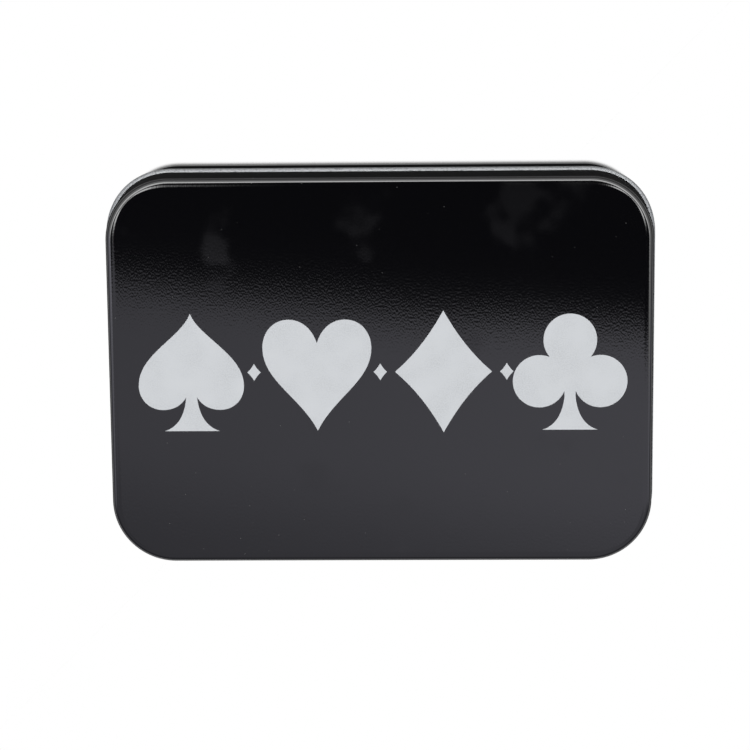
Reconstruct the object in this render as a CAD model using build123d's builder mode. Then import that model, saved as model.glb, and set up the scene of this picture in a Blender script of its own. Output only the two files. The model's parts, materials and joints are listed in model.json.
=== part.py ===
# Hinged card tin: a drawn and rolled tinplate lid and base, a wire-pinned hinge
# along the back, and a deck of cards over a folded rules leaflet.
# Millimetres, +Z up. The origin is the middle of the underside, the lid opens at -Y.
from build123d import *
import math
import os

os.makedirs("parts", exist_ok=True)

# --- the tin ------------------------------------------------------------------
tin_length = 100.0  # over the lid's skirt, along X
tin_width = 72.0  # over the lid's skirt, along Y
tin_height = 24.0
corner_radius = 11.6  # of the lid's skirt, seen from above
sheet = 0.25  # tinplate
lid_edge_radius = 1.05  # between the lid's face and its skirt
lid_drop = 8.2  # from the lid's face down to the middle of its curl
curl_diameter = 0.95  # rolled edges of the lid and of the base
curl_mouth = 0.1  # slot left between a curl's end and its wall
lid_rest_gap = 0.4  # between the base's rim and the underside of the lid
swing_clearance = 0.1  # left when the base's rim passes the lid's front edge

# --- the base's underside -------------------------------------------------------
base_edge_radius = 0.6
foot_width = 3.1  # flat ring that the tin stands on
foot_step = 0.4  # the panel inside the ring is raised by this
step_run = 0.5  # width of the slope between ring and panel

# --- hinge ------------------------------------------------------------------------
pin_diameter = 0.6
pin_end_round = 0.12
pin_overhang = 0.6  # wire that stands out past the last knuckle
pin_end_gap = 0.6  # from the wire's end to the lid's curl
knuckle_bore_gap = 0.05  # radial, between the wire and a lid knuckle
crimp_gap = 0.02  # radial, between the wire and a base knuckle
knuckle_count = 5  # the outer ones belong to the base
knuckle_length = 11.6
knuckle_gap = 0.4  # along the wire, between neighbours
notch_clearance = 0.3  # above the knuckles, in the lid's skirt

# --- contents ---------------------------------------------------------------------
card_length = 88.9
card_width = 63.5
card_thickness = 0.3
card_corner = 3.2
card_count = 54
card_shuffle = 0.45  # furthest that a card lies off the deck's middle
card_twist = 0.25  # degrees that a card may be turned by
leaflet_length = 86.0
leaflet_width = 61.0
leaflet_thickness = 0.8
leaflet_leaves = 3
leaflet_slit = 0.12  # air between two leaves
leaflet_fold = 0.5  # width of the fold that joins two leaves

# --- sizes that follow --------------------------------------------------------------
curl_radius = curl_diameter / 2
curl_bore = curl_radius - sheet
curl_reach = curl_diameter - sheet  # how far the lid's curl stands out
curl_turn = 180 + math.degrees(math.acos((curl_mouth - curl_bore) / curl_radius))
lid_face_z = tin_height - sheet
lid_edge_z = tin_height - lid_edge_radius
axis_z = tin_height - lid_drop
rim_z = lid_face_z - lid_rest_gap
rim_middle_z = rim_z - curl_radius
swing_gap = (rim_middle_z - axis_z) ** 2 / (2 * tin_width)  # the rim's arc at the front
wall_inset = sheet + swing_gap + swing_clearance  # from the lid's skirt to the base's wall
base_length = tin_length - 2 * wall_inset
base_width = tin_width - 2 * wall_inset
base_corner = corner_radius - wall_inset
base_back = base_width / 2
pin_radius = pin_diameter / 2
knuckle_radius = pin_radius + knuckle_bore_gap + sheet
axis_y = tin_width / 2 + curl_reach - knuckle_radius
knuckle_pitch = knuckle_length + knuckle_gap
knuckles_length = knuckle_count * knuckle_pitch - knuckle_gap
pin_length = knuckles_length + 2 * pin_overhang
notch_length = pin_length + 2 * pin_end_gap
panel_inset = base_edge_radius + foot_width + step_run
contents_z = foot_step + sheet
deck_z = contents_z + leaflet_thickness
leaf_thickness = (leaflet_thickness - (leaflet_leaves - 1) * leaflet_slit) / leaflet_leaves


def loop_path(length, width, corner):
    # rounded rectangle that a wall's section is carried round, from the front's middle
    straight = length / 2 - corner
    with BuildLine() as path:
        front = Line((0, -width / 2), (straight, -width / 2))
        front_end = (length / 2, corner - width / 2)
        front_turn = TangentArc(front @ 1, front_end, tangent=front % 1)
        side = Line(front_turn @ 1, (length / 2, width / 2 - corner))
        back_turn = TangentArc(side @ 1, (straight, width / 2), tangent=side % 1)
        Line(back_turn @ 1, (0, width / 2))
        mirror(about=Plane.YZ)
    return path.wire()


def section_plane(width):
    # plane of a wall's section: x is outward from the wall, y is up
    return Plane(origin=(0, -width / 2, 0), x_dir=(0, -1, 0), z_dir=(-1, 0, 0))


def across_plane(x):
    # plane square to the hinge's wire, with its middle on the wire
    return Plane(origin=(x, axis_y, axis_z), x_dir=(0, 1, 0), z_dir=(1, 0, 0))


def knuckle_starts(first):
    # x at which every second knuckle starts, counted from the first one
    numbers = range(first, knuckle_count, 2)
    return [i * knuckle_pitch - knuckles_length / 2 for i in numbers]


# --- lid: flat face, rounded edge, skirt and outward curl -------------------------
with BuildPart() as lid_shell:
    with BuildSketch(section_plane(tin_width)):
        with BuildLine():
            plate_x = -2 * lid_edge_radius
            Line((plate_x, lid_face_z), (-lid_edge_radius, lid_face_z))
            CenterArc((-lid_edge_radius, lid_edge_z), lid_edge_radius - sheet, 0, 90)
            Line((-sheet, lid_edge_z), (-sheet, axis_z))
            outside = CenterArc((curl_bore, axis_z), curl_radius, 180, curl_turn)
            inside = CenterArc((curl_bore, axis_z), curl_bore, 180, curl_turn)
            Line(outside @ 1, inside @ 1)
            Line((0, axis_z), (0, lid_edge_z))
            CenterArc((-lid_edge_radius, lid_edge_z), lid_edge_radius, 0, 90)
            Line((-lid_edge_radius, tin_height), (plate_x, tin_height))
            Line((plate_x, tin_height), (plate_x, lid_face_z))
        make_face()
    sweep(path=loop_path(tin_length, tin_width, corner_radius))
    with BuildSketch(Plane.XY.offset(lid_face_z)):
        face_corner = corner_radius - lid_edge_radius
        face_length = tin_length - 2 * lid_edge_radius
        face_width = tin_width - 2 * lid_edge_radius
        RectangleRounded(face_length, face_width, face_corner)
    extrude(amount=sheet)
    # the curl and the foot of the skirt are cut away along the hinge
    notch_top = axis_z + knuckle_radius + notch_clearance
    with BuildSketch(Plane.XY.offset(notch_top)):
        with Locations((0, axis_y)):
            Rectangle(notch_length, 2 * curl_diameter)
    extrude(amount=-lid_drop, mode=Mode.SUBTRACT)
    # tongues of the skirt, each rolled round the wire
    for start in knuckle_starts(1):
        with BuildSketch(across_plane(start)):
            Circle(knuckle_radius)
            skirt_x = tin_width / 2 - axis_y
            with Locations((skirt_x, 0)):
                tongue_height = notch_top - axis_z
                Rectangle(sheet, tongue_height, align=(Align.MAX, Align.MIN))
            Circle(pin_radius + knuckle_bore_gap, mode=Mode.SUBTRACT)
        extrude(amount=knuckle_length)

# --- base: raised floor panel, foot ring, straight wall and inward curl -----------
with BuildPart() as base_shell:
    with BuildSketch(section_plane(base_width)):
        with BuildLine():
            ring_x = step_run - panel_inset
            floor_x = -panel_inset - step_run
            underside = [(floor_x, foot_step), (-panel_inset, foot_step), (ring_x, 0)]
            Polyline(*underside, (-base_edge_radius, 0))
            CenterArc((-base_edge_radius, base_edge_radius), base_edge_radius, 270, 90)
            Line((0, base_edge_radius), (0, rim_middle_z))
            outside = CenterArc((-curl_radius, rim_middle_z), curl_radius, 0, curl_turn)
            inside = CenterArc((-curl_radius, rim_middle_z), curl_bore, 0, curl_turn)
            Line(outside @ 1, inside @ 1)
            Line((-sheet, rim_middle_z), (-sheet, base_edge_radius))
            inner_radius = base_edge_radius - sheet
            CenterArc((-base_edge_radius, base_edge_radius), inner_radius, 270, 90)
            topside = [(x, z + sheet) for x, z in reversed(underside)]
            Polyline((-base_edge_radius, sheet), *topside)
            Line(topside[-1], underside[0])
        make_face()
    sweep(path=loop_path(base_length, base_width, base_corner))
    with BuildSketch(Plane.XY.offset(foot_step)):
        panel_length = base_length - 2 * panel_inset
        panel_width = base_width - 2 * panel_inset
        RectangleRounded(panel_length, panel_width, base_corner - panel_inset)
    extrude(amount=sheet)
    # tongues cut out of the back wall, folded out and rolled round the wire
    web_length = axis_y - base_back
    tongue_blank = web_length + 1.5 * math.pi * (knuckle_radius - sheet / 2)
    for start in knuckle_starts(0):
        with BuildSketch(across_plane(start)):
            with Locations((base_back - axis_y + sheet, -knuckle_radius)):
                Rectangle(3 * sheet, tongue_blank, align=(Align.MAX, Align.MAX))
        extrude(amount=knuckle_length, mode=Mode.SUBTRACT)
        with BuildSketch(across_plane(start)):
            Circle(knuckle_radius)
            with Locations((0, -knuckle_radius)):
                Rectangle(web_length + sheet, sheet, align=(Align.MAX, Align.MIN))
            Circle(pin_radius + crimp_gap, mode=Mode.SUBTRACT)
        extrude(amount=knuckle_length)

# --- hinge wire ----------------------------------------------------------------------
with BuildPart() as hinge_pin:
    with BuildSketch(across_plane(-pin_length / 2)):
        Circle(pin_radius)
    extrude(amount=pin_length)
    fillet(hinge_pin.edges().filter_by(GeomType.CIRCLE), pin_end_round)

# --- rules leaflet: one sheet folded to and fro ----------------------------------------
with BuildPart() as rules_leaflet:
    with BuildSketch(Plane.XY.offset(contents_z)):
        Rectangle(leaflet_length, leaflet_width)
    extrude(amount=leaflet_thickness)
    for i in range(leaflet_leaves - 1):
        slit_z = contents_z + (i + 1) * leaf_thickness + i * leaflet_slit
        side = 1 if i % 2 else -1
        with BuildSketch(Plane.XY.offset(slit_z)):
            with Locations((0, side * leaflet_fold)):
                Rectangle(leaflet_length, leaflet_width)
        extrude(amount=leaflet_slit, mode=Mode.SUBTRACT)

pieces = {
    "lid_shell": lid_shell,
    "base_shell": base_shell,
    "hinge_pin": hinge_pin,
    "rules_leaflet": rules_leaflet,
}

# --- deck: each card lies a little off the one below ------------------------------------
for number in range(1, card_count + 1):
    slip_x = card_shuffle * math.sin(2.4 * number)
    slip_y = card_shuffle * math.cos(3.7 * number)
    twist = card_twist * math.sin(1.7 * number)
    with BuildPart() as card:
        with BuildSketch(Plane.XY.offset(deck_z + (number - 1) * card_thickness)):
            with Locations((slip_x, slip_y)):
                RectangleRounded(card_length, card_width, card_corner, rotation=twist)
        extrude(amount=card_thickness)
    pieces[f"card_{number:02d}"] = card

for name, piece in pieces.items():
    piece.part.label = name
    export_step(piece.part, f"parts/{name}.step")
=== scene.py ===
# Hinged card tin: looks of the pressed lid and base, the printed row of suits and the contents.
# Lengths in the dictionaries are millimetres unless a note says otherwise.
import json
import math

import bpy
import numpy as np
from mathutils import Matrix, Vector


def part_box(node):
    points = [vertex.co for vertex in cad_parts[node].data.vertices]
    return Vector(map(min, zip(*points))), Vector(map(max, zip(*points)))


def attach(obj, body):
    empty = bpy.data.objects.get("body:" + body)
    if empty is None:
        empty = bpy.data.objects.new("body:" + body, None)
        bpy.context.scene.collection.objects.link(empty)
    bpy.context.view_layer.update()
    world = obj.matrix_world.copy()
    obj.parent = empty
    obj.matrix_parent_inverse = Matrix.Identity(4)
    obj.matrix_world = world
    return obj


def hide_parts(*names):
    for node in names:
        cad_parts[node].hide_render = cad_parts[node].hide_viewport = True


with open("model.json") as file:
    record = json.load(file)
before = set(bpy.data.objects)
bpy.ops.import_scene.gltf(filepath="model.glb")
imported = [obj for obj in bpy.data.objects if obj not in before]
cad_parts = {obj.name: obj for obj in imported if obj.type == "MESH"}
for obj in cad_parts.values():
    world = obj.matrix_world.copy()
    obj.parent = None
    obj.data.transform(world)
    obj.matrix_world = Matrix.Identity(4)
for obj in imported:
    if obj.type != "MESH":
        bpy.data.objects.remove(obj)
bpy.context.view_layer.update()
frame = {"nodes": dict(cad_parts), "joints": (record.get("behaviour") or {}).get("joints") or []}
print("frame loaded,", len(frame["nodes"]), "nodes")

mm = 0.001  # metres in a millimetre


def nodeBox(name):
    # lowest and highest corner of a CAD node, in millimetres
    return [np.array(corner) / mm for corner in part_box(name)]


lidLow, lidHigh = nodeBox("lid_shell")
baseLow, baseHigh = nodeBox("base_shell")
wireEnd = nodeBox("hinge_pin")[1][0]
axisY, axisZ = np.array(frame["joints"][0]["pos_m"][1:]) / mm

tinplate = {
    "sheet": 0.25,
    "curlRadius": 0.475,  # outside of a rolled edge
    "curlMouth": 0.1,  # slot between the end of the base's curl and its wall
    "cornerSteps": 24,  # stations round a corner
    "straightStep": 2.4,  # between stations on a straight
}


def hexColour(text):
    # sRGB to linear: c / 12.92 up to 0.04045, else ((c + 0.055) / 1.055) to the power 2.4
    c = np.array([int(text[i:i + 2], 16) for i in (1, 3, 5)]) / 255
    linear = np.where(c <= 0.04045, c / 12.92, ((c + 0.055) / 1.055) ** 2.4)
    return (*linear.tolist(), 1.0)


def addNode(tree, kind, inputs=(), output=0, **settings):
    # a shader node with its settings. Each input is a number, a vector, a hex colour or the output of
    # another node, in the order of the sockets or by socket. The output asked for is returned, or
    # the node itself where none is
    node = tree.nodes.new("ShaderNode" + kind)
    for name, value in settings.items():
        setattr(node, name, value)
    for socket, value in inputs.items() if isinstance(inputs, dict) else enumerate(inputs):
        if isinstance(value, bpy.types.NodeSocket):
            tree.links.new(value, node.inputs[socket])
        else:
            node.inputs[socket].default_value = hexColour(value) if isinstance(value, str) else value
    return node if output is None else node.outputs[output]


# settings that many nodes share: a smooth step from one end of a Map Range to the other, and a Mix
# of the colours at sockets 6 and 7 by the factor at socket 0
smooth = {"interpolation_type": "SMOOTHSTEP"}
blend = {"data_type": "RGBA", "output": 2}


def newMaterial(name):
    # an empty material and its node tree
    material = bpy.data.materials.new(name)
    material.use_nodes = True
    material.node_tree.nodes.clear()
    return material, material.node_tree


def perMetre(wave):
    # scale of a pattern whose waves are this many millimetres long
    return 1 / (wave * mm)


enamelLook = {
    "black": "#08080A",
    "dust": "#9A9A96",
    "ior": 1.8,  # above a lacquer's usual 1.5, matched to how strongly the face mirrors
    "roughness": (0.045, 0.1),  # clean, and where fingers have been
    "smearWave": 17.0,
    "smeared": (0.56, 0.72),  # part of the noise over which a smear begins
    "bentRoughness": 0.5,  # where the edge is bent most
    "bent": (0.8, 0.45),  # upright part of the normal, where the dulling begins and is full
    "panelWave": 34.0,
    "panelRise": 0.05,
    "peelWave": 0.42,
    "peelStretch": (1 / 0.6, 1, 1),
    "peelRise": 0.0029,
    "dustCell": 2.2,  # one speck in a cube of this side
    "dustRadius": 0.075,
    "dustCore": 0.4,  # share of the radius at which the speck is full
    "dustShare": 0.35,  # of its colour that shows
    "dustRoughness": 0.5,
}


def stovedEnamel(name, look):
    # black stoved enamel, rolled on before the sheet was pressed: a deep black gloss with fine orange
    # peel and a few specks of dust on the flats, which turns duller as it goes over the bent edge
    material, tree = newMaterial(name)
    place = addNode(tree, "TexCoord", output="Object")
    wave = {"Vector": place, "Scale": perMetre(look["smearWave"]), "Detail": 3.0}
    smears = addNode(tree, "TexNoise", wave)
    dull = addNode(tree, "MapRange", (smears, *look["smeared"]), **smooth)
    rough = addNode(tree, "MapRange", (dull, 0.0, 1.0, *look["roughness"]), **smooth)
    facing = addNode(tree, "TexCoord", output="Normal")
    upright = addNode(tree, "SeparateXYZ", [facing], "Z")
    upright = addNode(tree, "Math", [upright], operation="ABSOLUTE")
    bent = addNode(tree, "MapRange", (upright, *look["bent"]), **smooth)
    bentRough = addNode(tree, "Math", (bent, look["bentRoughness"]), operation="MULTIPLY")
    rough = addNode(tree, "Math", (rough, bentRough), operation="MAXIMUM")
    cells = addNode(tree, "TexVoronoi", {"Vector": place, "Scale": perMetre(look["dustCell"])})
    reach = look["dustRadius"] / look["dustCell"]
    specks = addNode(tree, "MapRange", (cells, reach, reach * look["dustCore"]), **smooth)
    speckRough = addNode(tree, "Math", (specks, look["dustRoughness"]), operation="MULTIPLY")
    rough = addNode(tree, "Math", (rough, speckRough), operation="MAXIMUM")
    shown = addNode(tree, "Math", (specks, look["dustShare"]), operation="MULTIPLY")
    colour = addNode(tree, "Mix", {0: shown, 6: look["black"], 7: look["dust"]}, **blend)
    wave = {"Vector": place, "Scale": perMetre(look["panelWave"]), "Detail": 0.0}
    height = addNode(tree, "TexNoise", wave)
    panelled = addNode(tree, "Bump", {"Height": height, "Distance": look["panelRise"] * mm})
    drawnOut = addNode(tree, "Mapping", {"Vector": place, "Scale": look["peelStretch"]})
    wave = {"Vector": drawnOut, "Scale": perMetre(look["peelWave"]), "Detail": 0.5}
    height = addNode(tree, "TexNoise", wave)
    peel = {"Height": height, "Distance": look["peelRise"] * mm, "Normal": panelled}
    normal = addNode(tree, "Bump", peel)
    finish = {"Base Color": colour, "Roughness": rough, "Normal": normal, "IOR": look["ior"]}
    shader = addNode(tree, "BsdfPrincipled", finish)
    addNode(tree, "OutputMaterial", [shader], None)
    return material


wallLook = {
    # blacker than the face's enamel: painted shade on the walls
    "black": "#050506",
    "rubbed": "#08080A",
    "rubWave": 7.0,
    "rubs": (0.4, 0.75),  # part of the noise over which a rubbed patch begins
    "rubRoughness": 0.08,  # that rubbing adds
    "drawWave": 0.35,  # width of the marks that the die leaves
    "drawStretch": (1, 1, 1 / 30),  # they run upright
    "drawRise": 0.0012,
    "turned": (0.3, 0.8),  # from square on to along the wall
    "roughness": (0.3, 0.9),  # square on, and along the wall
    "specular": 0.15,  # 0.5 is a common gloss
}


def drawnEnamel(name, look):
    # the same enamel on the walls, kept duller than the real gloss, which would mirror the white
    # surroundings and turn pale, and given a blacker colour than the face as painted shade: a low
    # black sheen square on that turns matt along the wall, with faint upright draw marks and slightly
    # rubbed patches
    material, tree = newMaterial(name)
    place = addNode(tree, "TexCoord", output="Object")
    wave = {"Vector": place, "Scale": perMetre(look["rubWave"]), "Detail": 3.0}
    rubs = addNode(tree, "MapRange", (addNode(tree, "TexNoise", wave), *look["rubs"]), **smooth)
    colour = addNode(tree, "Mix", {0: rubs, 6: look["black"], 7: look["rubbed"]}, **blend)
    facing = addNode(tree, "LayerWeight", {"Blend": 0.5}, "Facing")
    rough = addNode(tree, "MapRange", (facing, *look["turned"], *look["roughness"]), **smooth)
    rough = addNode(tree, "Math", (rubs, look["rubRoughness"], rough), operation="MULTIPLY_ADD")
    drawnOut = addNode(tree, "Mapping", {"Vector": place, "Scale": look["drawStretch"]})
    wave = {"Vector": drawnOut, "Scale": perMetre(look["drawWave"]), "Detail": 2.0}
    marks = addNode(tree, "TexNoise", wave)
    normal = addNode(tree, "Bump", {"Height": marks, "Distance": look["drawRise"] * mm})
    finish = {"Base Color": colour, "Roughness": rough, "Normal": normal}
    finish["Specular IOR Level"] = look["specular"]
    shader = addNode(tree, "BsdfPrincipled", finish)
    addNode(tree, "OutputMaterial", [shader], None)
    return material


tinLook = {
    "metal": "#CDCCC8",
    "stain": "#C2C0BA",
    "lacquerWave": 15.0,
    "stained": (0.35, 0.7),  # part of the noise over which the lacquer's tint sets in
    "thick": (0.3, 0.7),  # and over which its gloss falls
    "roughness": (0.27, 0.33),
    "rollLine": 1.1,  # spacing of the mill's rolling lines, drawn coarse enough to show
    "rollStretch": (1 / 60, 1, 1),
    "rollRise": 0.004,
}


def lacqueredTinplate(name, look):
    # bright tinplate under clear lacquer: a satin silver with faint lines from the rolling mill, all
    # one way, and lacquer of uneven thickness that shifts its gloss a little
    material, tree = newMaterial(name)
    place = addNode(tree, "TexCoord", output="Object")
    wave = {"Vector": place, "Scale": perMetre(look["lacquerWave"]), "Detail": 3.0}
    lacquer = addNode(tree, "TexNoise", wave)
    stained = addNode(tree, "MapRange", (lacquer, *look["stained"]), **smooth)
    colour = addNode(tree, "Mix", {0: stained, 6: look["metal"], 7: look["stain"]}, **blend)
    rough = addNode(tree, "MapRange", (lacquer, *look["thick"], *look["roughness"]), **smooth)
    drawnOut = addNode(tree, "Mapping", {"Vector": place, "Scale": look["rollStretch"]})
    wave = {"Vector": drawnOut, "Scale": perMetre(look["rollLine"]), "Detail": 1.0}
    lines = addNode(tree, "TexNoise", wave)
    normal = addNode(tree, "Bump", {"Height": lines, "Distance": look["rollRise"] * mm})
    finish = {"Base Color": colour, "Metallic": 1.0, "Roughness": rough, "Normal": normal}
    shader = addNode(tree, "BsdfPrincipled", finish)
    addNode(tree, "OutputMaterial", [shader], None)
    return material


curlLook = {
    "metal": "#A6A8AA",
    "scuffed": "#7E8082",
    "scuffWave": 0.3,
    "scuffs": (0.5, 0.68),  # part of the noise over which a scuff begins
    "pucker": 0.3,  # length of the puckers across the rolled edge
    "puckerRise": 0.02,
    "roughness": 0.58,
}


def rolledEdge(name, look):
    # tinplate stretched over the curling roller, which leaves it dull grey, with short puckers across
    # the edge and small scuffs, so that it glitters in grains rather than in one line
    material, tree = newMaterial(name)
    place = addNode(tree, "TexCoord", output="Object")
    along = addNode(tree, "TexCoord", output="UV")  # millimetres along and across the edge
    wave = {"Vector": place, "Scale": perMetre(look["scuffWave"]), "Detail": 3.0}
    scuffs = addNode(tree, "MapRange", (addNode(tree, "TexNoise", wave), *look["scuffs"]), **smooth)
    colour = addNode(tree, "Mix", {0: scuffs, 6: look["metal"], 7: look["scuffed"]}, **blend)
    wave = {"Vector": along, "Scale": 1 / look["pucker"], "Detail": 3.0}
    puckers = addNode(tree, "TexNoise", wave)
    normal = addNode(tree, "Bump", {"Height": puckers, "Distance": look["puckerRise"] * mm})
    finish = {"Base Color": colour, "Metallic": 1.0, "Roughness": look["roughness"], "Normal": normal}
    shader = addNode(tree, "BsdfPrincipled", finish)
    addNode(tree, "OutputMaterial", [shader], None)
    return material


inkLook = {
    "ink": "#C4C7C9",
    "thin": "#B4B7B9",
    "grain": 0.22,
    "grainRise": 0.004,
    "grains": (0.35, 0.7),  # part of the grain's noise over which the ink gets thin
    "cloudWave": 5.0,
    "clouds": (0.2, 0.8),  # and of the slower noise that the grain comes and goes with
    "roughness": 0.62,
    "ior": 1.45,
}


def screenInk(name, look):
    # matt screen ink laid on the enamel: an even cool light grey with the fine grain of the mesh
    # that it was pressed through, slightly thinner here and there
    material, tree = newMaterial(name)
    place = addNode(tree, "TexCoord", output="Object")
    wave = {"Vector": place, "Scale": perMetre(look["grain"]), "Detail": 2.0}
    grain = addNode(tree, "TexNoise", wave)
    grains = addNode(tree, "MapRange", (grain, *look["grains"]), **smooth)
    wave = {"Vector": place, "Scale": perMetre(look["cloudWave"]), "Detail": 2.0}
    clouds = addNode(tree, "MapRange", (addNode(tree, "TexNoise", wave), *look["clouds"]), **smooth)
    thin = addNode(tree, "Math", (grains, clouds), operation="MULTIPLY")
    colour = addNode(tree, "Mix", {0: thin, 6: look["ink"], 7: look["thin"]}, **blend)
    normal = addNode(tree, "Bump", {"Height": grain, "Distance": look["grainRise"] * mm})
    finish = {"Base Color": colour, "Roughness": look["roughness"], "IOR": look["ior"]}
    finish["Normal"] = normal
    shader = addNode(tree, "BsdfPrincipled", finish)
    addNode(tree, "OutputMaterial", [shader], None)
    return material


wireLook = {
    "steel": "#B9B8B4",
    "groove": "#8E8C88",
    "dieLine": 0.05,
    "dieStretch": (1 / 80, 1, 1),
    "dieRise": 0.001,
    "roughness": 0.3,
}


def tinnedWire(name, look):
    # drawn steel wire with a tin coat: soft silver with fine lines along the wire from the die
    material, tree = newMaterial(name)
    place = addNode(tree, "TexCoord", output="Object")
    drawnOut = addNode(tree, "Mapping", {"Vector": place, "Scale": look["dieStretch"]})
    wave = {"Vector": drawnOut, "Scale": perMetre(look["dieLine"]), "Detail": 2.0}
    lines = addNode(tree, "TexNoise", wave)
    colour = addNode(tree, "Mix", {0: lines, 6: look["steel"], 7: look["groove"]}, **blend)
    normal = addNode(tree, "Bump", {"Height": lines, "Distance": look["dieRise"] * mm})
    finish = {"Base Color": colour, "Metallic": 1.0, "Roughness": look["roughness"], "Normal": normal}
    shader = addNode(tree, "BsdfPrincipled", finish)
    addNode(tree, "OutputMaterial", [shader], None)
    return material


paperLook = {
    "paper": "#EFEDE6",
    "fibre": "#E2DFD6",
    "fibreWave": 0.5,
    "fibreStretch": (0.5, 1, 1),
    "fibreRise": 0.006,
    "roughness": 0.85,
}


def uncoatedPaper(name, look):
    # uncoated offset paper: warm white, matt, with soft fibres
    material, tree = newMaterial(name)
    place = addNode(tree, "TexCoord", output="Object")
    drawnOut = addNode(tree, "Mapping", {"Vector": place, "Scale": look["fibreStretch"]})
    wave = {"Vector": drawnOut, "Scale": perMetre(look["fibreWave"]), "Detail": 4.0}
    fibres = addNode(tree, "TexNoise", wave)
    colour = addNode(tree, "Mix", {0: fibres, 6: look["paper"], 7: look["fibre"]}, **blend)
    normal = addNode(tree, "Bump", {"Height": fibres, "Distance": look["fibreRise"] * mm})
    finish = {"Base Color": colour, "Roughness": look["roughness"], "Normal": normal}
    shader = addNode(tree, "BsdfPrincipled", finish)
    addNode(tree, "OutputMaterial", [shader], None)
    return material


cardLook = {
    "white": "#F1F0EC",
    "core": "#D9D7D0",  # cut edge of the stock
    "cutWave": 1.2,
    "cutStretch": (1 / 8, 1 / 8, 4),  # the tint of the cut edge changes from card to card
    "cuts": (0.35, 0.65),
    "faceUp": (0.6, 0.9),  # upright part of the normal between the cut edge and the faces
    "back": "#1A1A1E",
    "border": 3.6,
    "lattice": 4.2,  # pitch of the printed diamonds
    "line": 0.5,
    "dot": 0.9,  # height of the lattice's waves above which a dot is left white
    "linen": 0.5,  # pitch of the embossed grid
    "linenRise": 0.006,
    "roughness": 0.38,
    "ior": 1.5,
}


def cardStock(name, look, centre, size, printed):
    # coated playing card stock: white, semi gloss, embossed with a fine linen grid; the cut edge is
    # a little greyer, and differs from card to card. A printed back has a lattice inside a border
    material, tree = newMaterial(name)
    place = addNode(tree, "TexCoord", output="Object")
    facing = addNode(tree, "TexCoord", output="Normal")
    upright = addNode(tree, "SeparateXYZ", [facing], "Z")
    upright = addNode(tree, "Math", [upright], operation="ABSOLUTE")
    faceUp = addNode(tree, "MapRange", (upright, *look["faceUp"]), **smooth)
    drawnOut = addNode(tree, "Mapping", {"Vector": place, "Scale": look["cutStretch"]})
    wave = {"Vector": drawnOut, "Scale": perMetre(look["cutWave"]), "Detail": 2.0}
    cuts = addNode(tree, "MapRange", (addNode(tree, "TexNoise", wave), *look["cuts"]), **smooth)
    cutEdge = addNode(tree, "Mix", {0: cuts, 6: look["white"], 7: look["core"]}, **blend)
    colour = addNode(tree, "Mix", {0: faceUp, 6: cutEdge, 7: look["white"]}, **blend)
    moved = addNode(tree, "Mapping", {"Vector": place, "Location": [-c * mm for c in centre]})
    xyz = addNode(tree, "SeparateXYZ", [moved], None).outputs
    if printed:
        # a line where the sine of x + y or of x - y is near 0, a dot where both are near 1 or -1
        waves = []
        for operation in ("ADD", "SUBTRACT"):
            slant = addNode(tree, "Math", (xyz["X"], xyz["Y"]), operation=operation)
            turn = (slant, math.pi * perMetre(look["lattice"]))
            turn = addNode(tree, "Math", turn, operation="MULTIPLY")
            wave = addNode(tree, "Math", [turn], operation="SINE")
            waves.append(addNode(tree, "Math", [wave], operation="ABSOLUTE"))
        lineHalf = math.sin(0.5 * math.pi * look["line"] / look["lattice"])
        nearest = addNode(tree, "Math", waves, operation="MINIMUM")
        lines = addNode(tree, "Math", (nearest, lineHalf), operation="LESS_THAN")
        peaks = addNode(tree, "Math", waves, operation="MULTIPLY")
        dots = addNode(tree, "Math", (peaks, look["dot"]), operation="GREATER_THAN")
        white = addNode(tree, "Math", (lines, dots), operation="MAXIMUM")
        lattice = addNode(tree, "Mix", {0: white, 6: look["back"], 7: look["white"]}, **blend)
        field = faceUp
        for axis, length in zip("XY", size):
            away = addNode(tree, "Math", [xyz[axis]], operation="ABSOLUTE")
            edge = (length / 2 - look["border"]) * mm
            inside = addNode(tree, "Math", (away, edge), operation="LESS_THAN")
            field = addNode(tree, "Math", (field, inside), operation="MULTIPLY")
        colour = addNode(tree, "Mix", {0: field, 6: colour, 7: lattice}, **blend)
    weave = []
    for axis in "XY":
        turn = (xyz[axis], 2 * math.pi * perMetre(look["linen"]))
        turn = addNode(tree, "Math", turn, operation="MULTIPLY")
        weave.append(addNode(tree, "Math", [turn], operation="SINE"))
    linen = addNode(tree, "Math", weave, operation="MULTIPLY")
    linen = addNode(tree, "Math", (linen, 0.5, 0.5), operation="MULTIPLY_ADD")
    normal = addNode(tree, "Bump", {"Height": linen, "Distance": look["linenRise"] * mm})
    finish = {"Base Color": colour, "Roughness": look["roughness"], "IOR": look["ior"]}
    finish["Normal"] = normal
    shader = addNode(tree, "BsdfPrincipled", finish)
    addNode(tree, "OutputMaterial", [shader], None)
    return material


enamel = stovedEnamel("black_stoved_enamel", enamelLook)
wallEnamel = drawnEnamel("black_enamel_drawn_matt", wallLook)
insideTin = lacqueredTinplate("clear_lacquered_tinplate", tinLook)
curledTin = rolledEdge("rolled_tinplate_edge", curlLook)
printInk = screenInk("light_grey_screen_ink", inkLook)
print("materials made")


def spread(stops, step):
    # even stations between the stops, none further apart than step, and every stop hit
    counts = [max(1, math.ceil((b - a) / step - 1e-6)) for a, b in zip(stops, stops[1:])]
    runs = [np.linspace(a, b, n, endpoint=False) for a, b, n in zip(stops, stops[1:], counts)]
    return np.append(np.concatenate(runs), stops[-1])


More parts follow.
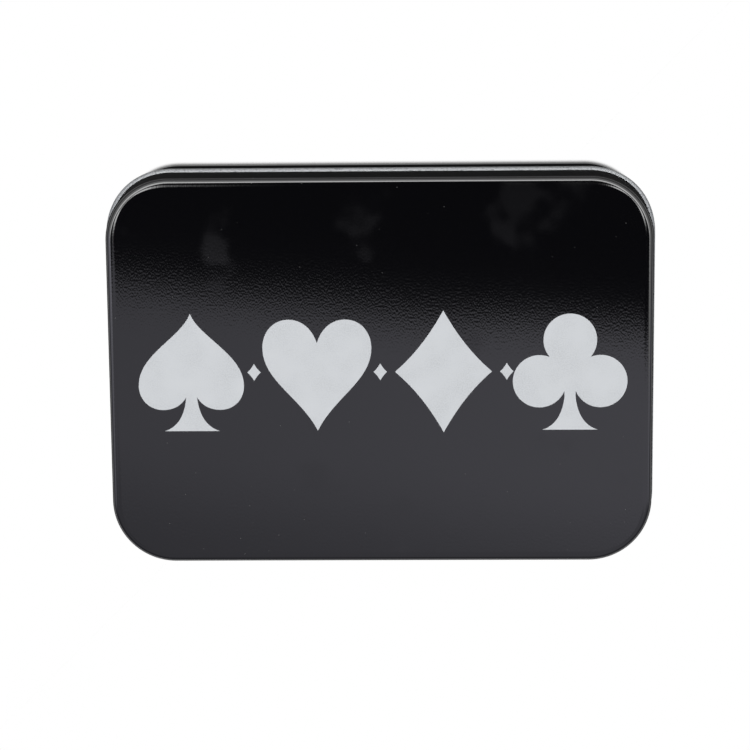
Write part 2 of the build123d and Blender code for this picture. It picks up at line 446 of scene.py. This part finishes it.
def loopStations(length, width, corner, backStops=()):
    # stations counterclockwise round a rounded rectangle, the last one on the first. Each has a
    # point of the inner rectangle of corner centres and an outward angle: the wall stands at
    # centre + corner * (cos angle, sin angle)
    coreX, coreY = length / 2 - corner, width / 2 - corner
    step = tinplate["straightStep"]
    stops = sorted({-coreX, coreX, *backStops})
    alongX, alongBack = spread([-coreX, coreX], step), spread(stops, step)[::-1]
    alongY = spread([-coreY, coreY], step)
    quarter = np.linspace(0, np.pi / 2, tinplate["cornerSteps"] + 1)[1:-1]
    sides = [
        (alongX, -coreY, -np.pi / 2),
        (coreX, alongY, 0),
        (alongBack, coreY, np.pi / 2),
        (-coreX, alongY[::-1], np.pi),
    ]
    x, y, angle = [], [], []
    for sideX, sideY, facing in sides:
        sideX, sideY = np.broadcast_arrays(sideX, sideY)
        x += [sideX, np.full(len(quarter), sideX[-1])]
        y += [sideY, np.full(len(quarter), sideY[-1])]
        angle += [np.full(len(sideX), facing), facing + quarter]
    x, y, angle = (np.concatenate(part) for part in (x, y, angle))
    return np.append(x, x[0]), np.append(y, y[0]), np.append(angle, angle[0])


def carried(profile, stations, corner, atCorner=None):
    # the profile carried round the loop: each row is (share, out, z), and its point is
    # share * (centre + (corner + out) * outward), so that share runs from 0 at the middle of a panel
    # to 1 at its edge. In a corner it goes over to the profile atCorner by the square of the sine of
    # twice the angle, all of it on the diagonal. Returns the points and how far each lies along the
    # loop and the profile
    x, y, angle = stations
    rows = np.array(profile)[:, :, None]
    if atCorner is not None:
        rows = rows + np.sin(2 * angle) ** 2 * (np.array(atCorner)[:, :, None] - rows)
    share, out, z = rows.transpose(1, 0, 2)
    reach = corner + out
    acrossX, acrossY = share * (x + reach * np.cos(angle)), share * (y + reach * np.sin(angle))
    points = np.stack(np.broadcast_arrays(acrossX, acrossY, z), axis=-1)
    wall = np.stack([x + corner * np.cos(angle), y + corner * np.sin(angle)], axis=-1)
    along = np.append(0, np.linalg.norm(np.diff(wall, axis=0), axis=1).cumsum())
    across = np.append(0, np.linalg.norm(np.diff(points[:, 0], axis=0), axis=1).cumsum())
    return points, np.stack(np.meshgrid(along, across), axis=-1)


def gridFaces(points, places, keep=None, inward=False):
    # quads between neighbouring rows and columns of a grid, as corners into its flat list
    rows, columns = points.shape[:2]
    number = np.arange(rows * columns).reshape(rows, columns)
    quads = np.stack([number[:-1, :-1], number[1:, :-1], number[1:, 1:], number[:-1, 1:]], axis=-1)
    quads = quads[keep] if keep is not None else quads.reshape(-1, 4)
    if inward:
        quads = quads[:, ::-1]
    return points.reshape(-1, 3), places.reshape(-1, 2), quads


def joined(grids):
    # several grids as one list of points, places and quads
    points, places, quads = zip(*grids)
    counts = np.cumsum([0] + [len(part) for part in points[:-1]])
    quads = [part + count for part, count in zip(quads, counts)]
    return np.concatenate(points), np.concatenate(places), np.concatenate(quads)


def makePiece(name, surface, materials, materialOf=None):
    # a mesh from points, places (its UV map, in millimetres) and quads. Points that coincide, as at
    # a seam or a pole, become one, and a quad that loses a corner by it becomes a triangle
    points, places, quads = surface
    used, corners = np.unique(quads, return_inverse=True)
    corners = corners.reshape(-1, 4)
    rounded = np.round(points[used], 6)
    _, first, merged = np.unique(rounded, axis=0, return_index=True, return_inverse=True)
    vertex = merged.reshape(-1)[corners]
    kept = vertex != np.roll(vertex, 1, axis=1)
    whole = kept.sum(axis=1) > 2
    vertex, kept, quads = vertex[whole], kept[whole], quads[whole]
    sizes = kept.sum(axis=1)
    mesh = bpy.data.meshes.new(name)
    mesh.vertices.add(len(first))
    mesh.vertices.foreach_set("co", (points[used][first] * mm).astype(np.float32).ravel())
    mesh.loops.add(int(sizes.sum()))
    mesh.loops.foreach_set("vertex_index", vertex[kept].astype(np.int32))
    mesh.polygons.add(len(sizes))
    mesh.polygons.foreach_set("loop_start", np.append(0, sizes.cumsum()[:-1]).astype(np.int32))
    if materialOf is not None:
        mesh.polygons.foreach_set("material_index", materialOf[whole].astype(np.int32))
    mesh.update(calc_edges=True)
    mapped = places[quads[kept]].astype(np.float32)
    mesh.uv_layers.new(name="places").data.foreach_set("uv", mapped.ravel())
    for material in materials:
        mesh.materials.append(material)
    piece = bpy.data.objects.new(name, mesh)
    bpy.context.scene.collection.objects.link(piece)
    return piece


def thicken(piece, thickness, sharpFrom=35):
    # gives a surface its thickness on its back, with the next material there and on its cut edges
    solid = piece.modifiers.new("thickness", "SOLIDIFY")
    solid.thickness = thickness * mm
    solid.offset = -1
    solid.use_quality_normals = True
    solid.material_offset = 1
    solid.material_offset_rim = 1
    ready = piece.evaluated_get(bpy.context.evaluated_depsgraph_get())
    mesh = bpy.data.meshes.new_from_object(ready)
    piece.modifiers.clear()
    piece.data = mesh
    mesh.shade_smooth()
    mesh.set_sharp_from_angle(angle=math.radians(sharpFrom))
    return piece


def arc(centre, radii, start, turn, steps):
    # points on a circle, or on an ellipse with two radii, from start degrees through turn degrees,
    # both ends included
    angle = np.radians(start + np.linspace(0, turn, steps + 1))
    return np.array(centre) + np.stack([np.cos(angle), np.sin(angle)], axis=1) * radii


def walls(section, share=1.0):
    # section points (out, z) as profile rows
    section = np.array(section, float)
    return np.column_stack([np.full(len(section), share), section])


def slope(start, end, steps):
    # an easy double bend from one section point to another: the first coordinate runs evenly and
    # the second by the smooth step, 3 t squared - 2 t cubed
    t = np.linspace(0, 1, steps + 1)
    shares = np.column_stack([t, t * t * (3 - 2 * t)])
    return np.array(start) + (np.array(end) - np.array(start)) * shares


def panel(out, z, rings):
    # rings from the middle of a flat panel to its edge, where they lie close together: their share
    # is the sine of an even angle
    share = np.sin(np.linspace(0, np.pi / 2, rings + 1))
    return np.column_stack([share, np.full_like(share, out), np.full_like(share, z)])


# the lid: one sheet with a coined step round its face, a rounded edge, a skirt and an outward curl
lid = {
    "corner": 11.6,
    "edgeRadius": 1.05,  # between face and skirt
    "edgeSteps": 20,
    "glossSteps": 13,  # of those, the ones nearest the face, which keep their gloss
    "ledge": (0.1, 0.05),  # between the rounded edge and the face's coined step, straight and corner
    "stepRun": (0.6, 0.12),  # wide and soft along the straights, crisp round the corners
    "stepRise": (0.023, 0.03),
    "stepSteps": 10,
    "flare": (0.0, 0.16),  # that the skirt stands out by at its foot
    "curlSteps": 13,
    "curlClose": 85,  # degrees that the curl's top half turns through, before its end meets the skirt
    "skirtStep": 0.8,
    "faceRings": 26,
    "inkThickness": 0.02,
    "notchEnd": 0.6,  # from an end of the wire to the end of the notch in the skirt
    "notchClearance": 0.3,
}
curlReach = 2 * tinplate["curlRadius"] - tinplate["sheet"]
knuckleRadius = lidHigh[1] - axisY
lidLength = lidHigh[0] - lidLow[0] - 2 * curlReach
lidWidth = lidHigh[1] - lidLow[1] - 2 * curlReach
faceZ = lidHigh[2] - lid["inkThickness"]
notchTop = axisZ + knuckleRadius + lid["notchClearance"]
notchHalf = wireEnd + lid["notchEnd"]


def lidProfile(ledge, stepRun, stepRise, flare):
    # enamelled side of the sheet, from the middle of the face to the end of the outward curl, whose
    # top half is an ellipse that falls away from the skirt
    radius, bore = lid["edgeRadius"], tinplate["curlRadius"] - tinplate["sheet"]
    ledgeZ = faceZ - stepRise
    edgeZ = ledgeZ - radius
    stepOut = -radius - ledge - stepRun
    skirtZ = spread([notchTop, edgeZ], lid["skirtStep"])[-2::-1]
    skirtOut = flare * ((edgeZ - skirtZ) / (edgeZ - axisZ)) ** 3
    rows = [
        panel(stepOut, faceZ, lid["faceRings"]),
        walls(slope((stepOut, faceZ), (stepOut + stepRun, ledgeZ), lid["stepSteps"])[1:]),
        walls(arc((-radius, edgeZ), radius, 90, -90, lid["edgeSteps"])),
        walls(np.column_stack([skirtOut, skirtZ])),
        walls(arc((flare + bore, axisZ), bore, 180, 180, lid["curlSteps"])),
        walls(arc((flare, axisZ), (2 * bore, bore), 0, lid["curlClose"], lid["curlSteps"])[1:]),
    ]
    return np.concatenate(rows)


def lidTin():
    settings = [lid[name] for name in ("ledge", "stepRun", "stepRise", "flare")]
    profile, atCorner = [lidProfile(*each) for each in zip(*settings)]
    stations = loopStations(lidLength, lidWidth, lid["corner"], (-notchHalf, notchHalf))
    points, places = carried(profile, stations, lid["corner"], atCorner)
    middle = (points[1:, 1:] + points[:-1, :-1]) / 2
    curlRow = len(profile) - 2 * lid["curlSteps"] - 1
    rowOf = np.broadcast_to(np.arange(len(profile) - 1)[:, None], middle.shape[:2])
    x, y, z = middle.transpose(2, 0, 1)
    inNotch = (abs(x) < notchHalf) & (y > 0) & (z < notchTop) & (rowOf > lid["faceRings"])
    surface = gridFaces(points, places, keep=~inNotch)
    wallRow = lid["faceRings"] + lid["stepSteps"] + lid["glossSteps"]
    zone = (rowOf[~inNotch] >= wallRow).astype(int) + (rowOf[~inNotch] >= curlRow)
    sides = [enamel, insideTin, wallEnamel, insideTin, wallEnamel, curledTin]
    return thicken(makePiece("lid_tin", surface, sides, 2 * zone), tinplate["sheet"])


def tongues(name, section, starts, length):
    # tongues of the sheet, each the section (y, z) drawn along x, enamelled side to the wire
    along = np.append(0, np.linalg.norm(np.diff(section, axis=0), axis=1).cumsum())
    grids = []
    for start in starts:
        x = np.linspace(start, start + length, hinge["columns"])
        y, z = section[:, :1], section[:, 1:]
        points = np.stack(np.broadcast_arrays(x, y, z), axis=-1)
        places = np.stack(np.meshgrid(x, along), axis=-1)
        grids.append(gridFaces(points, places, inward=True))
    piece = makePiece(name, joined(grids), [wallEnamel, curledTin])
    return thicken(piece, tinplate["sheet"])


# tongues of both sheets, rolled in turn round one wire
hinge = {
    "knuckles": 5,
    "length": 11.6,
    "gap": 0.4,
    "turn": 300,  # degrees that a tongue is rolled round the wire
    "turnSteps": 30,
    "bendSteps": 10,  # where a lid tongue leaves the skirt
    "webSteps": 5,  # where a base tongue stands out from the wall
    "columns": 13,
}
pitch = hinge["length"] + hinge["gap"]
firstKnuckle = -(hinge["knuckles"] * pitch - hinge["gap"]) / 2
knuckleStarts = [firstKnuckle + i * pitch for i in range(hinge["knuckles"])]
wireSide = knuckleRadius - tinplate["sheet"]  # radius of the enamelled side round the wire

lidSkin = lidTin()
skirtY = lidWidth / 2
bend = slope((notchTop, skirtY), (axisZ, axisY - wireSide), hinge["bendSteps"])[:, ::-1]
lidRoll = arc((axisY, axisZ), wireSide, 180, hinge["turn"], hinge["turnSteps"])
lidRoll = np.concatenate([bend[:-1], lidRoll])
lidTongues = tongues("lid_hinge_tongues", lidRoll, knuckleStarts[1::2], hinge["length"])
for piece in (lidSkin, lidTongues):
    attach(piece, "lid")
    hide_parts("lid_shell")
print("lid made")


# the base: one sheet with a raised panel, a foot ring, a straight wall and an inward curl
base = {
    "edgeRadius": 0.6,
    "edgeSteps": 14,
    "foot": 3.1,  # width of the ring that it stands on
    "footStep": 0.9,
    "stepRun": 0.5,
    "stepRise": 0.4,  # the panel inside the ring is raised by this
    "stepSteps": 8,
    "wallStep": 1.8,
    "curlSteps": 26,
    "rimGap": 0.4,  # from the rim to the lid's underside
    "floorRings": 26,
}


def baseTin():
    # enamelled side of the sheet, from the middle of the underside to the end of the inward curl
    radius, roll = base["edgeRadius"], tinplate["curlRadius"]
    rimZ = lidHigh[2] - tinplate["sheet"] - base["rimGap"] - roll
    # the curl turns until its end comes to curlMouth from the wall
    mouth = (tinplate["curlMouth"] - roll + tinplate["sheet"]) / roll
    curlTurn = 180 + math.degrees(math.acos(mouth))
    stepOut = -radius - base["foot"]
    windowTop = axisZ - knuckleRadius
    windowLow = windowTop - tongueBlank
    panelEnd = (stepOut - base["stepRun"], base["stepRise"])
    footOut = spread([stepOut, -radius], base["footStep"])[1:-1]
    wallZ = spread([radius, windowLow, windowTop, rimZ], base["wallStep"])[1:-1]
    rows = [
        panel(*panelEnd, base["floorRings"]),
        walls(slope(panelEnd, (stepOut, 0), base["stepSteps"])[1:]),
        walls([(x, 0) for x in footOut]),
        walls(arc((-radius, radius), radius, 270, 90, base["edgeSteps"])),
        walls([(0, z) for z in wallZ]),
        walls(arc((-roll, rimZ), roll, 0, curlTurn, base["curlSteps"])),
    ]
    profile = np.concatenate(rows)
    ends = [x for start in knuckleStarts[::2] for x in (start, start + hinge["length"])]
    stations = loopStations(baseLength, baseWidth, baseCorner, ends)
    points, places = carried(profile, stations, baseCorner)
    middle = (points[1:, 1:] + points[:-1, :-1]) / 2
    x, y, z = middle.transpose(2, 0, 1)
    window = np.zeros(x.shape, bool)
    for start in knuckleStarts[::2]:
        window |= (x > start) & (x < start + hinge["length"])
    onBack = y > baseWidth / 2 - tinplate["sheet"] / 2
    window &= onBack & (z > windowLow) & (z < windowTop)
    surface = gridFaces(points, places, keep=~window, inward=True)
    wallRow = sum(len(part) for part in rows[:3])
    rowOf = np.broadcast_to(np.arange(len(profile) - 1)[:, None], window.shape)
    zone = (rowOf[~window] >= wallRow).astype(int)
    sides = [enamel, insideTin, wallEnamel, insideTin]
    return thicken(makePiece("base_tin", surface, sides, 2 * zone), tinplate["sheet"])


baseLength = baseHigh[0] - baseLow[0]
wallInset = (lidLength - baseLength) / 2
baseWidth = lidWidth - 2 * wallInset
baseCorner = lid["corner"] - wallInset
webLength = axisY - baseWidth / 2
tongueBlank = webLength + 1.5 * math.pi * (knuckleRadius - tinplate["sheet"] / 2)
baseSkin = baseTin()
webY = np.linspace(baseWidth / 2 - tinplate["sheet"], axisY, hinge["webSteps"] + 1)
web = np.column_stack([webY, np.full_like(webY, axisZ - wireSide)])
baseRoll = arc((axisY, axisZ), wireSide, -90, hinge["turn"], hinge["turnSteps"])
baseRoll = np.concatenate([web[:-1], baseRoll])
baseTongues = tongues("base_hinge_tongues", baseRoll, knuckleStarts[::2], hinge["length"])
for piece in (baseSkin, baseTongues):
    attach(piece, "base")
    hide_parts("base_shell")
print("base made")


# the print: the four suits in a row across the lid, with small diamonds between them
suits = {
    "pitch": 23.2,  # between the middles of neighbouring suits
    "diamond": 8.9,  # half width of the diamond suit
    "dot": 1.25,  # half width of the small diamonds between them
    "curveSteps": 16,
    "columns": 9,
}


def curve(start, first, second, end):
    # cubic Bezier curve: the four points weighted by the terms of (1 - t) + t cubed
    t = np.linspace(0, 1, suits["curveSteps"] + 1)[:, None]
    weights = ((1 - t) ** 3, 3 * t * (1 - t) ** 2, 3 * t * t * (1 - t), t ** 3)
    return sum(w * np.array(p, float) for w, p in zip(weights, (start, first, second, end)))


def straight(start, end):
    t = np.linspace(0, 1, suits["curveSteps"] + 1)[:, None]
    return (1 - t) * np.array(start, float) + t * np.array(end, float)


# right half of each suit from its top to its foot: a stretch of outline, and the heights on the
# suit's own axis that the ends of the stretch are filled from
def stem(start):
    flare = curve((1.0, -4.6), (1.3, -7.8), (2.5, -10.2), (5.1, -11.0))
    return [(flare, start, -9.8), (straight((5.1, -11.0), (0, -11.0)), -9.8, -11.0)]


outlines = {
    "spade": [
        (curve((0, 11.0), (1.6, 6.6), (9.7, 3.4), (9.7, -2.4)), 11.0, 0.5),
        (curve((9.7, -2.4), (9.7, -5.3), (7.6, -7.0), (5.3, -7.0)), 0.5, -1.2),
        (curve((5.3, -7.0), (3.4, -7.0), (1.9, -6.2), (1.0, -4.6)), -1.2, -1.8),
        *stem(-1.8),
    ],
    "heart": [
        (curve((0, 5.4), (0.9, 8.3), (2.9, 9.8), (5.2, 9.8)), 5.4, 4.0),
        (curve((5.2, 9.8), (8.0, 9.8), (10.0, 7.5), (10.0, 4.5)), 4.0, 1.5),
        (curve((10.0, 4.5), (10.0, -1.6), (3.2, -4.6), (0, -11.0)), 1.5, -11.0),
    ],
    "diamond": [
        (curve((0, 11.4), (2.4, 7.0), (5.3, 3.1), (suits["diamond"], 0)), 11.4, 0),
        (curve((suits["diamond"], 0), (5.3, -3.1), (2.4, -7.0), (0, -11.4)), 0, -11.4),
    ],
    "club": [
        (arc((0, 5.8), 4.9, 90, -130.2, 20), 10.7, 1.0),
        (arc((5.6, -1.9), 4.9, 112.3, -202.3, 30), 1.0, -0.6),
        (arc((5.6, -1.9), 4.9, -90, -68, 12), -0.6, -1.0),
        *stem(-1.0),
    ],
}


def suitGrid(stretches, middle, scale=1.0):
    # every row runs from the left outline over the axis to the right one: at v from -1 to 1 its
    # point is v * out across and axis + |v| * (height - axis) up. Up on the print is -Y
    lines = [
        np.column_stack([line, np.linspace(top, foot, len(line))])
        for line, top, foot in stretches
    ]
    out, height, axis = (scale * np.concatenate(lines).T)[:, :, None]
    v = np.linspace(-1, 1, suits["columns"])
    across = middle + v * out
    up = axis + abs(v) * (height - axis)
    points = np.stack([-across, -up, np.full(across.shape, lidHigh[2])], axis=-1)
    return gridFaces(points, points[..., :2].copy())


suitGrids = []
for i, stretches in enumerate(outlines.values()):
    middle = (i - (len(outlines) - 1) / 2) * suits["pitch"]
    suitGrids.append(suitGrid(stretches, middle))
    if i:
        between = middle - suits["pitch"] / 2
        small = suits["dot"] / suits["diamond"]
        suitGrids.append(suitGrid(outlines["diamond"], between, small))
lidPrint = makePiece("lid_print", joined(suitGrids), [printInk, printInk])
lidPrint = thicken(lidPrint, lid["inkThickness"])
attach(lidPrint, "lid")
print("print made")


def dress(name, material):
    for slot in frame["nodes"][name].material_slots:
        slot.material = material


# the wire, the leaflet and the cards keep the meshes of their CAD nodes
dress("hinge_pin", tinnedWire("tinned_steel_wire", wireLook))
dress("rules_leaflet", uncoatedPaper("uncoated_paper", paperLook))
cards = sorted(name for name in frame["nodes"] if name.startswith("card_"))
topLow, topHigh = nodeBox(cards[-1])
cardCentre = [*((topLow + topHigh) / 2)[:2], 0]
cardSize = (topHigh - topLow)[:2]
plainCard = cardStock("coated_card_stock", cardLook, (0, 0, 0), cardSize, False)
backCard = cardStock("printed_card_back", cardLook, cardCentre, cardSize, True)
for name in cards:
    dress(name, backCard if name == cards[-1] else plainCard)
print("contents dressed")


sweep = {
    "size": 12.0,  # metres
    "colour": "#E8E8E6",
    "shadowReach": 1.0,  # how far from the tin its painted contact shadow goes
    "shadow": (0.55, 0.95, 0.15),  # openness at which the painted shadow is full and at which it ends, and its white
    "mirrorReach": 150.0,  # how far off the tin a painted shade darkens the floor that is seen in its own gloss
    # the power that deepens that painted shade
    "mirrorDepth": 12.0,
    "samples": 16,
}


def paperSweep(look):
    # a white sweep: plain white to the eye and in reflections, with shade painted into its glow from
    # how
    # open it is round the tin: a tight painted contact shadow to the eye, and a deep, wide painted
    # shade in what the tin's gloss mirrors
    material, tree = newMaterial("white_paper_sweep")
    path = addNode(tree, "LightPath", output=None).outputs
    near, far = [
        addNode(tree, "AmbientOcclusion", {"Distance": reach * mm}, "AO", samples=look["samples"])
        for reach in (look["shadowReach"], look["mirrorReach"])
    ]
    # painted contact shadow, as the eye sees the floor
    paintedContactShadow = addNode(tree, "MapRange", (near, *look["shadow"], 1.0), **smooth)
    # painted shade in the floor that the tin's gloss mirrors
    paintedMirrorShade = addNode(tree, "Math", (far, look["mirrorDepth"]), operation="POWER")
    strength = {0: path["Is Camera Ray"], 2: paintedMirrorShade, 3: paintedContactShadow}
    strength = addNode(tree, "Mix", strength, data_type="FLOAT")
    glow = addNode(tree, "Emission", {"Color": (1, 1, 1, 1), "Strength": strength})
    plain = addNode(tree, "BsdfDiffuse", {"Color": look["colour"]})
    white = path["Is Camera Ray"]
    for kind in ("Is Glossy Ray", "Is Transmission Ray"):
        white = addNode(tree, "Math", (white, path[kind]), operation="MAXIMUM")
    shader = addNode(tree, "MixShader", (white, plain, glow))
    addNode(tree, "OutputMaterial", [shader], None)
    return material


def makeFloor():
    half = sweep["size"] / 2
    corners = [(-half, -half, 0), (half, -half, 0), (half, half, 0), (-half, half, 0)]
    mesh = bpy.data.meshes.new("floor")
    mesh.from_pydata(corners, [], [(0, 1, 2, 3)])
    mesh.materials.append(paperSweep(sweep))
    floor = bpy.data.objects.new("floor", mesh)
    bpy.context.scene.collection.objects.link(floor)


room = {
    "edge": (0.1735, 0.1865),  # tangent of the tilt towards +Y at which the bright wall begins
    "edgeSlant": 0.095,
    "colour": "#F2F1FF",
    "brightness": (0.68, 0.51),  # of the wall, from the -X side to the +X side
    "brightnessEnds": (-0.12, 0.16),  # tangents of the tilt towards +X that these belong to
    "dimming": (0.238, 0.278, 0.7),  # tangents between which it grows dimmer, down to this share
    "horizon": (0.5, 0.2),  # height of the sky direction at which the pale horizon fades in
    "horizonBrightness": 0.35,
    "wallFoot": (0.55, 0.88, 0.4),  # heights between which the wall brightens, from this share
    "softboxTop": (0.998, 0.985),  # heights of the sky direction between which it begins
    "softboxFoot": (0.86, 0.92),  # and ends
    "softboxEnds": (-0.6, -0.2),  # cosine of the turn from -Y at which its ends fade
    "softboxBrightness": 5.0,
    "glow": 1.4,  # just below the softbox
    "glowHeights": (0.15, 0.86),  # between which it grows
    "least": 0.001,  # that anything is divided by
}


def makeWorld():
    # a bright wall on the +Y side, a dark ceiling, a softbox bent round the -Y side with its glow
    # below it, a pale horizon all round and plain white to the eye
    world = bpy.data.worlds.new("room")
    bpy.context.scene.world = world
    world.use_nodes = True
    tree = world.node_tree
    tree.nodes.clear()
    direction = addNode(tree, "TexCoord", output="Generated")
    xyz = addNode(tree, "SeparateXYZ", [direction], None).outputs
    height = addNode(tree, "Math", (xyz["Z"], room["least"]), operation="MAXIMUM")
    tiltY = addNode(tree, "Math", (xyz["Y"], height), operation="DIVIDE")
    tiltX = addNode(tree, "Math", (xyz["X"], height), operation="DIVIDE")
    slanted = addNode(tree, "Math", (tiltX, room["edgeSlant"], tiltY), operation="MULTIPLY_ADD")
    wallShare = addNode(tree, "MapRange", (slanted, *room["edge"]), **smooth)
    start, end, dimmed = room["dimming"]
    low, high, footShare = room["wallFoot"]
    wall = wallShare
    for part in (
        (tiltX, *room["brightnessEnds"], *room["brightness"]),
        (slanted, start, end, 1.0, dimmed),
        (xyz["Z"], low, high, footShare, 1.0),
    ):
        share = addNode(tree, "MapRange", part, **smooth)
        wall = addNode(tree, "Math", (wall, share), operation="MULTIPLY")
    horizon = (xyz["Z"], *room["horizon"], 0.0, room["horizonBrightness"])
    horizon = addNode(tree, "MapRange", horizon, **smooth)
    # how far a direction leans from upright is the root of 1 - z squared
    squared = addNode(tree, "Math", (height, 2.0), operation="POWER")
    leaning = addNode(tree, "Math", (1.0, squared), operation="SUBTRACT")
    leaning = addNode(tree, "Math", [leaning], operation="SQRT")
    leaning = addNode(tree, "Math", (leaning, room["least"]), operation="MAXIMUM")
    facing = addNode(tree, "Math", (xyz["Y"], leaning), operation="DIVIDE")
    facing = addNode(tree, "Math", (facing, -1.0), operation="MULTIPLY")
    ends = addNode(tree, "MapRange", (facing, *room["softboxEnds"]), **smooth)
    top = addNode(tree, "MapRange", (xyz["Z"], *room["softboxTop"]), **smooth)
    foot = (xyz["Z"], *room["softboxFoot"], 0.0, room["softboxBrightness"])
    foot = addNode(tree, "MapRange", foot, **smooth)
    glow = (xyz["Z"], *room["glowHeights"], 0.0, room["glow"])
    glow = addNode(tree, "MapRange", glow, **smooth)
    softbox = addNode(tree, "Math", (ends, top), operation="MULTIPLY")
    brightest = addNode(tree, "Math", (foot, glow), operation="MAXIMUM")
    softbox = addNode(tree, "Math", (softbox, brightest), operation="MULTIPLY")
    direct = addNode(tree, "LightPath", output="Is Camera Ray")
    light = direct
    for source in (wall, horizon, softbox):
        light = addNode(tree, "Math", (light, source), operation="MAXIMUM")
    unseen = addNode(tree, "Math", (1.0, direct), operation="SUBTRACT")
    tinted = addNode(tree, "Math", (wallShare, unseen), operation="MULTIPLY")
    colour = addNode(tree, "Mix", {0: tinted, 6: "#FFFFFF", 7: room["colour"]}, **blend)
    sky = addNode(tree, "Background", {"Color": colour, "Strength": light})
    addNode(tree, "OutputWorld", [sky], None)


lens = {
    "focal": 130.73,
    "sensor": 36,
    "distance": 500.0,  # to the plane of the lid's face
    "pitch": 11.417,  # degrees
    "yaw": -1.466,
    "roll": 0.545,
    "aim": (0.976, 0.580),  # X and Y of the point of the face that the camera looks at
    "clip": (0.01, 50),  # metres
}


def makeCamera():
    # the picture's up is -Y, so the camera is turned half a turn about Z before it is tilted
    data = bpy.data.cameras.new("camera")
    data.sensor_width = lens["sensor"]
    data.lens = lens["focal"]
    data.clip_start, data.clip_end = lens["clip"]
    camera = bpy.data.objects.new("camera", data)
    turn = Matrix.Rotation(math.pi, 3, "Z")
    for axis, name in (("Y", "yaw"), ("X", "pitch"), ("Z", "roll")):
        turn = turn @ Matrix.Rotation(-math.radians(lens[name]), 3, axis)
    aim = Vector((*lens["aim"], lidHigh[2]))
    place = (aim + turn @ Vector((0, 0, lens["distance"]))) * mm
    camera.matrix_world = Matrix.Translation(place) @ turn.to_4x4()
    bpy.context.scene.collection.objects.link(camera)
    bpy.context.scene.camera = camera


makeFloor()
makeWorld()
makeCamera()
bpy.context.scene.view_settings.view_transform = "Standard"
print("floor, light and camera made")
